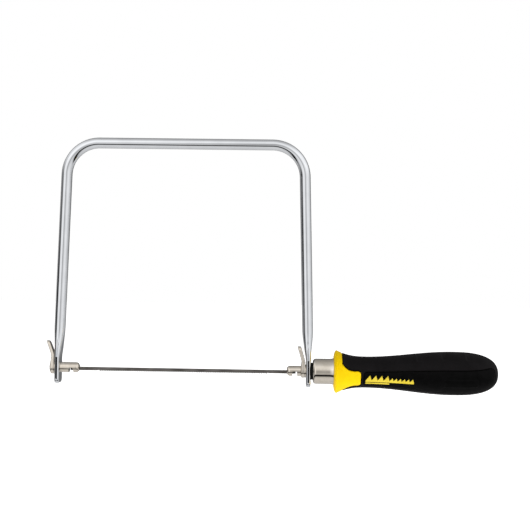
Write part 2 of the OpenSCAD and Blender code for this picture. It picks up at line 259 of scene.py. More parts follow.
class Surface:
    """A Principled material whose colour, roughness and bump come from noise."""

    def __init__(self, name, metallic=0.0, **sockets):
        self.material = bpy.data.materials.new(name)
        self.material.use_nodes = True
        self.tree = self.material.node_tree
        self.shader = feed(self.tree, self.tree.nodes["Principled BSDF"], Metallic=metallic, **sockets)
        self.place = self.add("ShaderNodeTexCoord").outputs["Object"]
        self.height = None

    def add(self, kind, **sockets):
        """A new node, with its sockets linked or set."""
        return feed(self.tree, self.tree.nodes.new(kind), **sockets)

    def noise(self, scale, detail=3, stretch=(1, 1, 1), rough=0.55):
        """Noise of so many lumps to a metre, stretched along the axes."""
        place = self.add("ShaderNodeMapping", Vector=self.place, Scale=stretch).outputs["Vector"]
        node = self.add("ShaderNodeTexNoise", Vector=place, Scale=scale, Detail=detail, Roughness=rough)
        return node.outputs["Fac"]

    def cells(self, scale):
        """Pebbles, so many to a metre."""
        return self.add("ShaderNodeTexVoronoi", Vector=self.place, Scale=scale).outputs["Distance"]

    def colour(self, factor, low, high, start=0.35, end=0.65):
        """Mottles the base colour between two colours."""
        ramp = self.add("ShaderNodeValToRGB", Fac=factor)
        for stop, position, shade in zip(ramp.color_ramp.elements, (start, end), (low, high)):
            stop.position, stop.color = position, (*shade, 1)
        feed(self.tree, self.shader, Base_Color=ramp.outputs["Color"])

    def roughness(self, factor, low, high, start=0.3, end=0.7):
        """Varies the roughness between two values."""
        node = self.add("ShaderNodeMapRange", Value=factor, From_Min=start, From_Max=end,
                        To_Min=low, To_Max=high)
        feed(self.tree, self.shader, Roughness=node.outputs["Result"])

    def bump(self, factor, depth):
        """Adds relief of that depth in metres."""
        node = self.add("ShaderNodeBump", Height=factor, Distance=depth, Strength=1)
        if self.height:
            feed(self.tree, node, Normal=self.height)
        self.height = node.outputs["Normal"]
        feed(self.tree, self.shader, Normal=self.height)


def chrome_plate():
    """Bright chrome with a faint drawn grain along the rod."""
    surface = Surface("chrome plate", 1.0)
    surface.colour(surface.noise(90), (0.72, 0.735, 0.76), (0.77, 0.785, 0.81))
    surface.roughness(surface.noise(600, 5), 0.03, 0.09)
    surface.bump(surface.noise(3000, 2, (1, 1, 0.06)), 0.000004)
    surface.bump(surface.noise(180), 0.00001)
    return surface.material


def painted_crease_shade():
    """Painted shade: a near-black, slightly metallic colour standing for the shadow in the crease of a
    flattened leg end.
    """
    # The near-black colour paints the shade at the bottom of the crease.
    surface = Surface("painted crease shade", 0.6, Specular_IOR_Level=0.2)
    surface.colour(surface.noise(900), (0.006, 0.006, 0.007), (0.03, 0.03, 0.032))
    surface.roughness(surface.noise(1500), 0.35, 0.55)
    return surface.material


def nickel_plate():
    """Warm bright nickel with faint turning marks."""
    surface = Surface("nickel plate", 1.0)
    surface.colour(surface.noise(220), (0.66, 0.60, 0.52), (0.74, 0.68, 0.60))
    surface.roughness(surface.noise(900, 5), 0.03, 0.08)
    surface.bump(surface.noise(2500, 3, (1, 0.1, 0.1)), 0.000003)
    surface.bump(surface.noise(300), 0.00001)
    return surface.material


def blade_steel():
    """Dark tempered steel, ground along its length."""
    surface = Surface("blade steel", 1.0)
    surface.colour(surface.noise(300, 5, (0.3, 1, 1)), (0.10, 0.092, 0.084), (0.24, 0.225, 0.21))
    surface.roughness(surface.noise(1500, 4, (0.2, 1, 1)), 0.32, 0.5)
    surface.bump(surface.noise(6000, 3, (0.05, 1, 1)), 0.000008)
    return surface.material


def pin_steel():
    """Dark ground steel."""
    surface = Surface("pin steel", 1.0)
    surface.colour(surface.noise(700), (0.03, 0.028, 0.026), (0.09, 0.085, 0.08))
    surface.roughness(surface.noise(2000), 0.25, 0.4)
    return surface.material


def insert_brass():
    """Turned brass."""
    surface = Surface("insert brass", 1.0)
    surface.colour(surface.noise(300), (0.62, 0.42, 0.13), (0.74, 0.53, 0.2))
    surface.roughness(surface.noise(900), 0.2, 0.35)
    surface.bump(surface.noise(3000, 3, (1, 0.1, 0.1)), 0.00001)
    return surface.material


def moulded_yellow(name, low, high):
    """Satin yellow plastic, mottled between two colours."""
    surface = Surface(name, 0.0, Specular_IOR_Level=0.06)
    surface.colour(surface.noise(160), low, high)
    surface.roughness(surface.noise(500, 4), 0.32, 0.46)
    surface.bump(surface.noise(4500, 3), 0.00002)
    return surface.material


def washer_nylon():
    """Black moulded nylon."""
    surface = Surface("washer nylon", 0.0, Specular_IOR_Level=0.1)
    surface.colour(surface.noise(500), (0.002, 0.002, 0.002), (0.005, 0.005, 0.005))
    surface.roughness(surface.noise(900), 0.4, 0.6)
    surface.bump(surface.noise(3500), 0.00002)
    return surface.material


def smooth_rubber():
    """The sleeve's black rubber, with a fine grain and slight waves."""
    surface = Surface("smooth rubber", 0.0, Specular_IOR_Level=0.08)
    surface.colour(surface.noise(120, 4), (0.003, 0.0025, 0.0028), (0.0048, 0.0041, 0.0046))
    surface.roughness(surface.noise(260, 4), 0.42, 0.58)
    surface.bump(surface.noise(5000, 4), 0.00003)
    surface.bump(surface.noise(260, 2), 0.00006)
    return surface.material


def textured_rubber():
    """The pads' deeper black rubber, with a pebbled grain."""
    surface = Surface("textured rubber", 0.0, Specular_IOR_Level=0.05)
    surface.colour(surface.noise(200, 4), (0.0007, 0.0007, 0.0007), (0.0018, 0.0017, 0.0018))
    surface.roughness(surface.noise(300, 4), 0.4, 0.5)
    surface.bump(surface.cells(2600), 0.00005)
    surface.bump(surface.noise(5000, 4), 0.00003)
    return surface.material


# ---- Frame -------------------------------------------------------------------

# The round tip of a leg end in side view, and the share of its thickness left at the very edge
TIP_R = 3 * MM
TIP_ANGLES = (4, 12, 25, 40, 55, 70, 90)
TIP_EDGE = 0.55
# The creases down the edges of a leg end, and the part of them painted dark as shade
CREASE_HALF = 0.6 * MM
CREASE_DEEP = 1 * MM
CREASE_TOP = SWAGE_TOP - 6 * MM
CREASE_FADE = 15 * MM
CREASE_BOTTOM = bow_z0 + 2.6 * MM
SHADE_PAINT_HALF = 0.5 * MM
SHADE_PAINT_FROM_Y = 3.2 * MM
SHADE_PAINT_TO_Y = PADDLE_W / 2 - 0.12 * MM
SHADE_PAINT_TOP = 8 * MM
# How finely the rod's corners, creases and bends are divided
CORNER_STEPS = 14
CREASE_STEPS = 5
BEND_STEPS = 24


def section(centre, across, half_t, half_w, corner, crease=0.0):
    """A rectangular ring with round corners: across is the thickness direction, Y is the width.

    The crease is how deep both edges are sunk in their middle.
    """
    corner = min(corner, half_t, half_w)
    flat_t, flat_w = half_t - corner, half_w - corner
    reach = math.acos(max(0.0, CREASE_HALF - flat_t) / corner)
    quarter = [(flat_t + corner * math.cos(a), flat_w + corner * math.sin(a))
               for a in steps(0, reach, reach / CORNER_STEPS)]
    quarter[0] = (half_t, 0)
    for i in range(CREASE_STEPS + 1):
        t = CREASE_HALF * (1 - i / CREASE_STEPS)
        w = flat_w + math.sqrt(corner ** 2 - max(0.0, t - flat_t) ** 2)
        quarter.append((t, w - crease * (1 - (t / CREASE_HALF) ** 2)))
    half = quarter + [(-t, w) for t, w in reversed(quarter[:-1])]
    ring = half + [(t, -w) for t, w in reversed(half[1:-1])]
    return [centre + across * t + Vector((0, w, 0)) for t, w in ring]


def leg_rings(side):
    """Rings from the tip of a leg up to the end of its bend. side is 1 at the handle."""
    upright = Vector((1, 0, 0))
    tilt = Vector((math.cos(LEG_SPLAY), 0, math.sin(LEG_SPLAY)))
    rings = []

    def add(x, z, across, half_t, half_w):
        crease = CREASE_DEEP * smooth((CREASE_TOP - z) / CREASE_FADE) * smooth((z - CREASE_BOTTOM) / MM)
        centre = Vector((mid_x + side * x, 0, z))
        rings.append(section(centre, Vector((side * across.x, 0, across.z)), half_t, half_w, ROD_R, crease))

    for angle in TIP_ANGLES:
        a = math.radians(angle)
        share = TIP_EDGE + (1 - TIP_EDGE) * math.sin(min(math.pi / 2, 1.6 * a))
        add(paddle_x, bow_z0 + TIP_R * (1 - math.cos(a)), upright, PADDLE_T / 2 * share,
            PADDLE_W / 2 - TIP_R * (1 - math.sin(a)))
    for z in steps(bow_z0 + TIP_R + MM, SWAGE_BOTTOM, 2.5 * MM):
        add(paddle_x, z, upright, PADDLE_T / 2, PADDLE_W / 2)
    # The flat end grows round and takes up the leg's splay
    for z in steps(SWAGE_BOTTOM, SWAGE_TOP, 1.2 * MM):
        t = (z - SWAGE_BOTTOM) / (SWAGE_TOP - SWAGE_BOTTOM)
        add(paddle_x - z * math.tan(LEG_SPLAY) * smooth(3 * t), z, upright.lerp(tilt, t),
            mix(PADDLE_T / 2, ROD_R, mix(t, smooth(t), 0.5)),
            mix(PADDLE_W / 2, ROD_R, smooth(0.98 * t)))
    # The round leg and its bend
    bend_z = bow_z1 - ROD_R - BEND_R
    leg_top = bend_z + BEND_R * math.sin(LEG_SPLAY)
    for z in steps(SWAGE_TOP, leg_top, 6 * MM):
        add(paddle_x - z * math.tan(LEG_SPLAY), z, tilt, ROD_R, ROD_R)
    bend_x = paddle_x - leg_top * math.tan(LEG_SPLAY) - BEND_R * math.cos(LEG_SPLAY)
    for i in range(BEND_STEPS + 1):
        a = mix(LEG_SPLAY, math.pi / 2, i / BEND_STEPS)
        out = Vector((math.cos(a), 0, math.sin(a)))
        add(bend_x + BEND_R * out.x, bend_z + BEND_R * out.z, out, ROD_R, ROD_R)
    return rings


def make_frame(material):
    """The bent rod with bored leg ends. The bottoms of its creases are painted dark, as shade."""
    bow = loft("frame_rod", leg_rings(1) + leg_rings(-1)[::-1], sharp=50)
    reach = 2 * PADDLE_T
    bores = [rod_cutter(name, (x - reach, 0, 0), (x + reach, 0, 0), shank_r + RUNNING_GAP)
             for name, x, shank_r in (("front bore", front_face, FRONT_SHANK_R),
                                      ("rear bore", rear_face, REAR_SHANK_R))]
    bow = carve(bow, bores, sharp=50)
    place(bow, "frame", "chrome_rod", material, "frame_bow")
    # The faces at the bottoms of the creases take the second material, which paints the shade there.
    bow.data.materials.append(painted_crease_shade())
    for face in bow.data.polygons:
        x, y, z = face.center
        on_edge = abs(abs(x - mid_x) - paddle_x) < SHADE_PAINT_HALF and SHADE_PAINT_FROM_Y < abs(y) < SHADE_PAINT_TO_Y
        if on_edge and CREASE_BOTTOM < z < SHADE_PAINT_TOP:
            face.material_index = 1


# ---- Blade -------------------------------------------------------------------

def make_blade(material):
    """A thin strip with a softened back, and teeth set to the left and right in turn."""
    half_t, edge = 0.25 * MM, 0.12 * MM
    tooth_h, pitch, toothed_len = 0.9 * MM, 1.69 * MM, 124 * MM
    tooth_set, tooth_half_t, point_at = 0.1 * MM, 0.92 * half_t, 0.8
    root = blade_z0 + tooth_h
    plain, set_from = root - 0.3 * MM, root + 0.4 * MM
    count = int(toothed_len / pitch)
    start = mid_x - count * pitch / 2
    stations = [(blade_x0, plain, 0), (start - pitch, plain, 0)]
    for i in range(count):
        lean = tooth_set if i % 2 else -tooth_set
        stations += [(start + i * pitch, root, 0), (start + (i + point_at) * pitch, blade_z0, lean)]
    end = start + count * pitch
    stations += [(end, root, 0), (end + pitch, plain, 0), (blade_x1, plain, 0)]
    rings = [[(x, edge - half_t, blade_z1), (x, half_t - edge, blade_z1),
              (x, half_t, blade_z1 - edge), (x, half_t, set_from),
              (x, lean + tooth_half_t, low), (x, lean - tooth_half_t, low),
              (x, -half_t, set_from), (x, -half_t, blade_z1 - edge)] for x, low, lean in stations]
    place(loft("toothed_blade", rings, sharp=25), "saw_blade", "blade_steel", material, "blade")


def make_blade_pin(name, node, x, material):
    """A cross pin along Y with rounded ends."""
    low, high = span(node, 1)
    r = (span(node)[1] - span(node)[0]) / 2
    edge = 0.25 * MM
    end = [(0, r - edge), (edge / 2, r - edge / 4), (edge, r)]
    outline = [(low + d, ring_r) for d, ring_r in end] + [(high - d, ring_r) for d, ring_r in reversed(end)]
    rings = [[(x + px, y, blade_z + pz) for _, px, pz in circle(0, ring_r, 32)] for y, ring_r in outline]
    place(loft(name, rings), "saw_blade", "pin_steel", material, node)


# ---- Spigots, levers and washers ---------------------------------------------

def seat_tools(pin_x, nose):
    """The slot for a blade's end and the notch for its cross pin.

    nose is 1 where the spigot's nose points to +X, and -1 where it points to -X.
    """
    slot_half, slot_top, slot_reach = 0.4 * MM, 0.75 * MM, 3.2 * MM
    hook, notch_reach, notch_r = 0.81 * MM, 2.59 * MM, 1 * MM
    deep = 2 * SPIGOT_R
    slot_x0, slot_x1 = sorted((pin_x + nose * (NOSE_LEN + 4 * MM), pin_x - nose * slot_reach))
    hook_x, far_x = pin_x + nose * hook, pin_x - nose * notch_reach
    outline = [(hook_x, -deep)]
    outline += arc(hook_x - nose * notch_r, blade_z, notch_r, 90 - nose * 90, 90, 8)
    outline += arc(far_x + nose * notch_r, blade_z, notch_r, 90, 90 + nose * 90, 8)
    outline += [(far_x, -deep)]
    notch = loft("notch", [[(x, y, z) for x, z in outline] for y in (-deep, deep)])
    return [cutter("slot", (slot_x0, -slot_half, -deep), (slot_x1, slot_half, slot_top)), notch]


def spigot_outline(pin_x, shoulder_x, nose):
    """A spigot's (x, radius) points from its nose to its shoulder, nose as in seat_tools."""
    nose_x = pin_x + nose * NOSE_LEN
    edge = 0.3 * MM
    points = [(nose_x - nose * (NOSE_R + x), r) for x, r in arc(0, SPIGOT_R - NOSE_R, NOSE_R, 180, 90, 10)]
    return points + [(shoulder_x + nose * edge, SPIGOT_R), (shoulder_x, SPIGOT_R - edge)]


def make_front_spigot(material):
    """A turned body with a slotted nose, and a shank peened over the lever."""
    shoulder_x = front_face + PADDLE_T + FACE_GAP
    eye_x = span("front_washer")[0] - FRONT_LEVER_T
    head_x = span("front_spigot")[0]
    head_r, edge = 3.8 * MM, 0.2 * MM
    dome = ((0.55, 3.3), (0.8, 2.3), (0.96, 1.1), (1, 0.3))
    outline = spigot_outline(front_pin_x, shoulder_x, 1)
    outline += [(shoulder_x, FRONT_SHANK_R), (eye_x, FRONT_SHANK_R)]
    outline += [(eye_x, head_r - edge / 4), (eye_x - edge, head_r)]
    outline += [(mix(eye_x, head_x, t), r * MM) for t, r in dome]
    piece = turned("front_spigot_turned", outline, segments=64)
    piece = carve(piece, seat_tools(front_pin_x, 1))
    soften(piece, 0.16 * MM)
    place(piece, "front_holder", "nickel", material, "front_spigot")


def thread_rings(x0, x1, r, root_r, segments):
    """Rings whose radius follows a one-start right-hand screw, eight to a turn."""
    rings = []
    for x in steps(x0, x1, THREAD_PITCH / 8):
        ring = []
        fade = smooth(min(x - x0, x1 - x) / THREAD_PITCH)
        for i in range(segments):
            a = 2 * math.pi * i / segments
            t = ((x - x0) / THREAD_PITCH - i / segments) % 1
            radius = r - (r - root_r) * fade * (1 - abs(2 * t - 1)) ** 0.8
            ring.append((x, radius * math.cos(a), radius * math.sin(a)))
        rings.append(ring)
    return rings


def make_rear_spigot(material):
    """A turned body with a slotted nose, and a shank with the thread that the handle turns on."""
    segments, stub, overlap = 48, 4 * MM, 0.1 * MM
    shoulder_x = span("rear_lever")[1] - REAR_LEVER_T
    end_x = span("rear_spigot")[1]
    thread_x = ferrule_x0 + 2 * MM
    outline = spigot_outline(rear_pin_x, shoulder_x, -1)
    outline += [(shoulder_x, REAR_SHANK_R), (shoulder_x + stub, REAR_SHANK_R)]
    body = carve(turned("spigot body", outline, segments=segments), seat_tools(rear_pin_x, -1))
    # The shank is a hair thinner than the body's stub, so that their faces don't coincide
    shank_r = REAR_SHANK_R - 0.005 * MM
    rings = [circle(x, shank_r, segments) for x in (shoulder_x + stub - overlap, thread_x)]
    rings += thread_rings(thread_x, end_x, shank_r, REAR_SHANK_R - 0.55 * MM, segments)
    rings += [circle(end_x - back, REAR_SHANK_R - less, segments)
              for back, less in ((0.02 * MM, 0.3 * MM), (0, 0.6 * MM))]
    piece = joined("rear_spigot_turned", [body, loft("shank", rings, sharp=60)])
    soften(piece, 0.12 * MM)
    place(piece, "rear_holder", "nickel", material, "rear_spigot")


def lever_rings(x0, thick, arm, lean, knee, node):
    """Rings from the bottom of a lever's thick eye, up its thinner arm, which leans above the knee."""
    tip_r, knee_r, corner = 2.7 * MM, 1.5 * MM, 0.8 * MM
    arm_from, arm_to = 3.4 * MM, 7 * MM
    edge, edge_share = 0.9 * MM, 0.55
    low, top = span(node, 2)
    eye_r, crown = -low, top - tip_r
    taper = math.asin((eye_r - tip_r) / crown)
    low_join, high_join = eye_r * math.sin(taper), crown + tip_r * math.sin(taper)

    def half_width(z):
        if z < low_join:
            return math.sqrt(max(0, eye_r ** 2 - z ** 2))
        if z > high_join:
            return math.sqrt(max(0, tip_r ** 2 - (z - crown) ** 2))
        return mix(eye_r * math.cos(taper), tip_r * math.cos(taper), (z - low_join) / (high_join - low_join))

    stations = [-eye_r * math.cos(math.radians(a)) for a in (5, 12, 20, 30, 40, 50, 60, 75)]
    stations += steps(-0.15 * eye_r, high_join, 0.7 * MM)
    stations += [crown + tip_r * math.sin(math.radians(a)) for a in (8, 20, 32, 44, 55, 65, 74, 82, 86)]
    rings = []
    for z in stations:
        bend = math.hypot(max(0.0, z - knee), knee_r) - knee_r
        thin = (thick - arm) * smooth((z - arm_from) / (arm_to - arm_from))
        inside_edge = min(1, min(z + eye_r, top - z) / edge)
        half_t = (thick - thin) / 2 * mix(edge_share, 1, math.sqrt(1 - (1 - inside_edge) ** 2))
        centre = Vector((x0 + (thick + thin) / 2 - bend * math.tan(math.radians(lean)), 0, z))
        rings.append(section(centre, Vector((1, 0, 0)), half_t, half_width(z), corner))
    return rings


def make_lever(name, node, body, x0, thick, arm, lean, knee, shank_r, material):
    """A pear-shaped tab, bored for the shank it is pressed on."""
    piece = loft(name, lever_rings(x0, thick, arm, lean, knee, node), sharp=60)
    eye = rod_cutter("eye", (x0 - MM, 0, 0), (x0 + thick + MM, 0, 0), shank_r + 0.01 * MM)
    place(carve(piece, [eye], sharp=60), body, "nickel", material, node)


def make_washer(name, node, body, bore, slot, material, edge):
    """A flat ring with rounded rims and chamfered bores."""
    x0, x1 = span(node)
    r, soft = span(node, 2)[1], 0.3 * edge
    outline = [(x0, bore + edge), (x0, r - edge), (x0 + soft, r - soft), (x0 + edge, r),
               (x1 - edge, r), (x1 - soft, r - soft), (x1, r - edge), (x1, bore + edge),
               (x1 - edge, bore), (x0 + edge, bore)]
    place(turned(name, outline, loop=True), body, slot, material, node)


# ---- Handle ------------------------------------------------------------------

# Stations and powers of the handle's outline, as in the CAD model
RIM_X = handle_x0 + 2 * MM
NECK_X = handle_x0 + 23 * MM
BELLY_X = handle_x0 + 86.5 * MM
TONGUE_END = handle_x0 + 19.6 * MM
LABEL_X1 = handle_x0 + 59.3 * MM
FLARE_POWER = 2.4
BUTT_POWER = 2.6
# A little less than the CAD model's belly, so that the grip stays inside its box
BELLY_R = 15.76 * MM
# Side view of the tongues and pads: half heights, where the pads are widest, and round corners
TONGUE_HALF = 6.1 * MM
TONGUE_FLARE = 9 * MM
PAD_NECK_HALF = 5.4 * MM
PAD_SWELL = 3.7 * MM
PAD_WIDEST = 0.7
FRONT_CORNER = 2.6 * MM
BUTT_CORNER = 5 * MM
# Well in front of the sleeve, where the tongues have no front edge
TONGUE_FROM = sleeve_x0 - 20 * MM


def handle_r(x):
    """Radius of the handle's outside at a station."""
    if x < NECK_X:
        return NECK_R + (flange_r - NECK_R) * max(0, (NECK_X - x) / (NECK_X - RIM_X)) ** FLARE_POWER
    if x < BELLY_X:
        t = (x - NECK_X) / (BELLY_X - NECK_X)
        return NECK_R + (BELLY_R - NECK_R) / 2 * (1 - math.cos(math.pi * t))
    t = (x - BELLY_X) / (handle_x1 - BELLY_X)
    return BELLY_R * max(0, 1 - t ** BUTT_POWER) ** (1 / BUTT_POWER)


def rounding(past, corner):
    """How much a round corner takes off, so far past the corner's start."""
    return corner - math.sqrt(max(0, corner ** 2 - min(max(past, 0), corner) ** 2))


def tongue_half(x):
    """Half height of the yellow tongue in side view, flaring towards the flange."""
    flare = max(0, 1 - (x - sleeve_x0) / TONGUE_FLARE)
    half = TONGUE_HALF + (1.1 * flare + 4 * flare ** 2.5) * MM
    return half - rounding(x - (TONGUE_END - FRONT_CORNER), FRONT_CORNER)


def pad_half(x):
    """Half height of a side pad in side view."""
    t = min(1, (x - pad_x0) / (pad_x1 - pad_x0) / PAD_WIDEST)
    half = PAD_NECK_HALF + PAD_SWELL / 2 * (1 - math.cos(math.pi * t))
    return (half - rounding(pad_x0 + FRONT_CORNER - x, FRONT_CORNER)
            - rounding(x - (pad_x1 - BUTT_CORNER), BUTT_CORNER))


def around(x, angle, r):
    """A point on the handle. The angle runs from the near side's middle up to the top."""
    y, z = -r * math.cos(angle), r * math.sin(angle)
    return (x, y * math.cos(CLOCK) - z * math.sin(CLOCK), y * math.sin(CLOCK) + z * math.cos(CLOCK))


def edge_angle(x):
    """Angle from a side's middle to the edge of the tongue or pad there."""
    if x <= TONGUE_END:
        half = tongue_half(x)
    elif x >= pad_x0:
        half = pad_half(min(x, pad_x1))
    else:
        half = mix(tongue_half(TONGUE_END), pad_half(pad_x0), (x - TONGUE_END) / (pad_x0 - TONGUE_END))
    return math.asin(min(0.94, half / max(handle_r(x), NECK_R * 0.8)))


def quarter_angles(x):
    """Angles from a side's middle to the top, closest together at the edge."""
    edge = edge_angle(x)
    near = [edge + d * MM / max(handle_r(x), 4 * MM) for d in (-0.6, -0.3, -0.12, 0, 0.12, 0.3, 0.6)]
    below = [t * near[0] for t in steps(0, 1, 1 / 9)]
    above = [mix(near[-1], math.pi / 2, 1 - t) for t in reversed(steps(0, 1, 1 / 12))]
    return below + near + above[:-1]


def ring_angles(x):
    """Angles all the way round, with the edges of both sides' pads followed."""
    quarter = quarter_angles(x)
    top = math.pi / 2
    near = quarter + [top] + [math.pi - a for a in reversed(quarter)]
    far = [math.pi + a for a in quarter[1:]] + [3 * top] + [2 * math.pi - a for a in reversed(quarter[1:])]
    return near + far


def side_height(angle, r):
    """Height in side view above either side's middle, without its sign."""
    return abs(r * math.sin(angle))


def inside(x, h, half, x0, x1):
    """Roughly how far a point is inside an outline, in metres."""
    return min(half(min(max(x, x0), x1)) - h, x - x0, x1 - x)


def groove_depth(x, angle):
    """The three round-ended grooves across the top of the grip, each with a low lip."""
    if math.sin(angle) < 0:
        return 0.0
    first_x, pitch, half_len = BELLY_X - 25 * MM, 17.6 * MM, 5 * MM
    half_w, wall, deep = 1.1 * MM, 1.4 * MM, 0.65 * MM
    lip_off, lip_half, lip_h, lip_max = 2.9 * MM, 0.5 * MM, 0.06 * MM, 0.05 * MM
    across = max(0, abs(angle - math.pi / 2) * handle_r(x) - half_len)
    depth = 0.0
    for i in range(3):
        off = math.hypot(x - (first_x + i * pitch), across)
        depth = max(depth, deep * (1 - smooth((off - half_w) / wall)))
        depth = max(depth - lip_h * (1 - smooth(abs(off - lip_off) / lip_half)), -lip_max)
    return depth


def sleeve_radius(x, angle):
    """Radius of the sleeve's outside, sunk under the pads and tongues, with a groove round each."""
    r = handle_r(x)
    h = side_height(angle, r)
    front = 1 - smooth((x - sleeve_x0) / (0.9 * MM))
    r_out = r - 0.7 * MM * front ** 2 - groove_depth(x, angle)
    pad = inside(x, h, pad_half, pad_x0, pad_x1)
    r_out -= (PAD_T + 0.05 * MM) * smooth((pad + 0.16 * MM) / (0.16 * MM))
    r_out -= 0.28 * MM * (1 - smooth(abs(pad + 0.1 * MM) / (0.5 * MM)))
    tongue = inside(x, h, tongue_half, TONGUE_FROM, TONGUE_END)
    r_out -= (SLEEVE_T - 0.12 * MM) * smooth((tongue + 0.3 * MM) / (0.3 * MM))
    r_out -= 0.3 * MM * (1 - smooth(abs(tongue + 0.2 * MM) / (0.55 * MM)))
    return max(r_out, r - SLEEVE_T + 0.1 * MM)


def offsets(x, millimetres):
    """Stations at so many millimetres from x."""
    return [x + d * MM for d in millimetres]


def tongue_stations(start, end):
    """Stations along the tongue, closer together at its round end."""
    corner_x = TONGUE_END - FRONT_CORNER - 0.2 * MM
    return steps(start, corner_x, 0.55 * MM) + steps(corner_x, end, 0.25 * MM)


def sleeve_stations():
    """Stations along the sleeve, close together where the tongues and pads end."""
    front_x, butt_x = pad_x0 + 3.4 * MM, pad_x1 - BUTT_CORNER - 0.2 * MM
    last_x = pad_x1 + 0.4 * MM
    xs = offsets(sleeve_x0, (0, 0.12, 0.3, 0.55, 0.9))
    xs += tongue_stations(sleeve_x0 + 1.3 * MM, TONGUE_END - 0.1 * MM)
    xs += offsets(TONGUE_END, (-0.05, 0, 0.1, 0.2, 0.3, 0.5, 0.8, 1))
    xs += offsets(pad_x0, (-0.6, -0.45, -0.3, -0.16, -0.05, 0, 0.1, 0.3))
    xs += steps(pad_x0 + 0.5 * MM, front_x, 0.3 * MM)
    xs += steps(front_x, butt_x, 0.55 * MM)
    xs += steps(butt_x, pad_x1 - 0.2 * MM, 0.25 * MM)
    xs += offsets(pad_x1, (-0.1, 0, 0.05, 0.16, 0.4))
    butt = (0.12, 0.25, 0.38, 0.5, 0.62, 0.72, 0.81, 0.88, 0.94, 0.975, 0.995)
    return xs + [mix(last_x, handle_x1, t) for t in butt]


def make_sleeve(material):
    """The black rubber round the core, a skin with an inside of its own."""
    outer = [[around(x, a, sleeve_radius(x, a)) for a in ring_angles(x)] for x in sleeve_stations()]
    inner_xs = steps(sleeve_x0, BELLY_X, 6 * MM) + steps(BELLY_X, handle_x1 - 4 * MM, 2.5 * MM)
    inner = [[around(x, a, handle_r(x) - SLEEVE_T) for a in ring_angles(x)] for x in inner_xs]
    piece = loft("grip_sleeve_moulding", inner[::-1] + outer, sharp=70)
    place(piece, "handle", "sleeve_black", material, "grip_sleeve")


def core_radius(x, angle):
    """Radius of the core: flush in the tongues, with a groove along their edge, sunk elsewhere."""
    r = handle_r(x)
    tongue = inside(x, side_height(angle, r), tongue_half, TONGUE_FROM, TONGUE_END)
    rise = smooth(tongue / (0.35 * MM))
    groove = 0.22 * MM * rise * (1 - smooth((tongue - 0.1 * MM) / (0.6 * MM)))
    return mix(r - SLEEVE_T - 0.05 * MM, r - 0.04 * MM, rise) - groove


def make_core(material):
    """The yellow moulding: a nose in the ferrule, the flange, two tongues and a bored body."""
    nose_r, collar_r = ferrule_r - 0.85 * MM, ferrule_r + 0.6 * MM
    bulge = flange_r - collar_r - 0.05 * MM
    outline = [(ferrule_x0 + 1.4 * MM, nose_r - 0.5 * MM), (ferrule_x0 + 1.9 * MM, nose_r),
               (handle_x0 - 0.02 * MM, nose_r), (handle_x0 - 0.01 * MM, collar_r - 0.4 * MM),
               (handle_x0 + 0.1 * MM, collar_r)]
    for a in (math.radians(angle) for angle in range(10, 81, 7)):
        outline.append((handle_x0 + 2.1 * MM * (1 - math.cos(a)) + 0.1 * MM, collar_r + bulge * math.sin(a)))
    outline += [(RIM_X + 0.25 * MM, flange_r - 0.03 * MM), (RIM_X + 0.75 * MM, handle_r(RIM_X + 0.75 * MM))]
    outline += [(x, handle_r(x)) for x in steps(RIM_X + 1.2 * MM, sleeve_x0 - 0.3 * MM, 0.5 * MM)]
    outline.append((sleeve_x0 - 0.3 * MM, handle_r(sleeve_x0)))
    rings = [[around(x, a, r) for a in ring_angles(sleeve_x0)] for x, r in outline]
    xs = offsets(sleeve_x0, (-0.08, 0.02))
    xs += tongue_stations(sleeve_x0 + 0.3 * MM, TONGUE_END - 0.5 * MM)
    xs += offsets(TONGUE_END, (-0.4, -0.3, -0.2, -0.1, 0, 0.1))
    xs += steps(TONGUE_END + 3 * MM, handle_x1 - 5 * MM, 5 * MM)
    rings += [[around(x, a, core_radius(x, a)) for a in ring_angles(x)] for x in xs]
    piece = loft("handle_core_moulding", rings, sharp=70)
    bore = rod_cutter("core bore", (ferrule_x0, 0, 0), (NECK_X, 0, 0), REAR_SHANK_R + 0.3 * MM)
    pocket = rod_cutter("insert pocket", (insert_x0, 0, 0), (insert_x1, 0, 0), 6 * MM)
    place(carve(piece, [bore, pocket], sharp=70), "handle", "core_yellow", material, "handle_core")


def patch(name, stations, column, depth, side):
    """A closed plate bent to the handle, from columns of (height in side view, radius) points."""
    bm = bmesh.new()
    columns = [(x, column(x)) for x in stations]

    def bent(x, h, r):
        angle = math.asin(max(-0.97, min(0.97, h / handle_r(x))))
        return bm.verts.new(around(x, angle if side > 0 else math.pi - angle, r))

    top = [[bent(x, h, r) for h, r in points] for x, points in columns]
    under = [[bent(x, h, handle_r(x) - depth) for h, _ in points] for x, points in columns]
    n, m = len(top), len(top[0])
    for i in range(n - 1):
        for j in range(m - 1):
            bm.faces.new((top[i][j], top[i + 1][j], top[i + 1][j + 1], top[i][j + 1]))
            bm.faces.new((under[i][j], under[i][j + 1], under[i + 1][j + 1], under[i + 1][j]))
    rim = ([(i, 0) for i in range(n)] + [(n - 1, j) for j in range(1, m)]
           + [(i, m - 1) for i in range(n - 2, -1, -1)] + [(0, j) for j in range(m - 2, 0, -1)])
    for (i, j), (next_i, next_j) in zip(rim, rim[1:] + rim[:1]):
        bm.faces.new((top[i][j], top[next_i][next_j], under[next_i][next_j], under[i][j]))
    return finish_mesh(bm, name, sharp=60)


def knurl(x, girth):
    """Small raised diamonds at a station and a distance round the handle."""
    pitch, height = 1.6 * MM, 0.2 * MM
    ridges = (math.sin(math.pi * (x + way * girth) / pitch) for way in (1, -1))
    return height * abs(math.prod(ridges)) ** 0.6


def badge(x, h):
    """How far a point is inside the plain raised panel near the butt."""
    centre_x, half_x, half_h, corner = handle_x0 + 90.5 * MM, 12.4 * MM, 3.1 * MM, 1.4 * MM
    dx, dh = abs(x - centre_x) - half_x + corner, abs(h) - half_h + corner
    return corner - math.hypot(max(dx, 0), max(dh, 0)) - min(max(dx, dh), 0)


def label_half(x):
    """Half height of the sunk field that holds the mark."""
    return pad_half(x) - 1.3 * MM


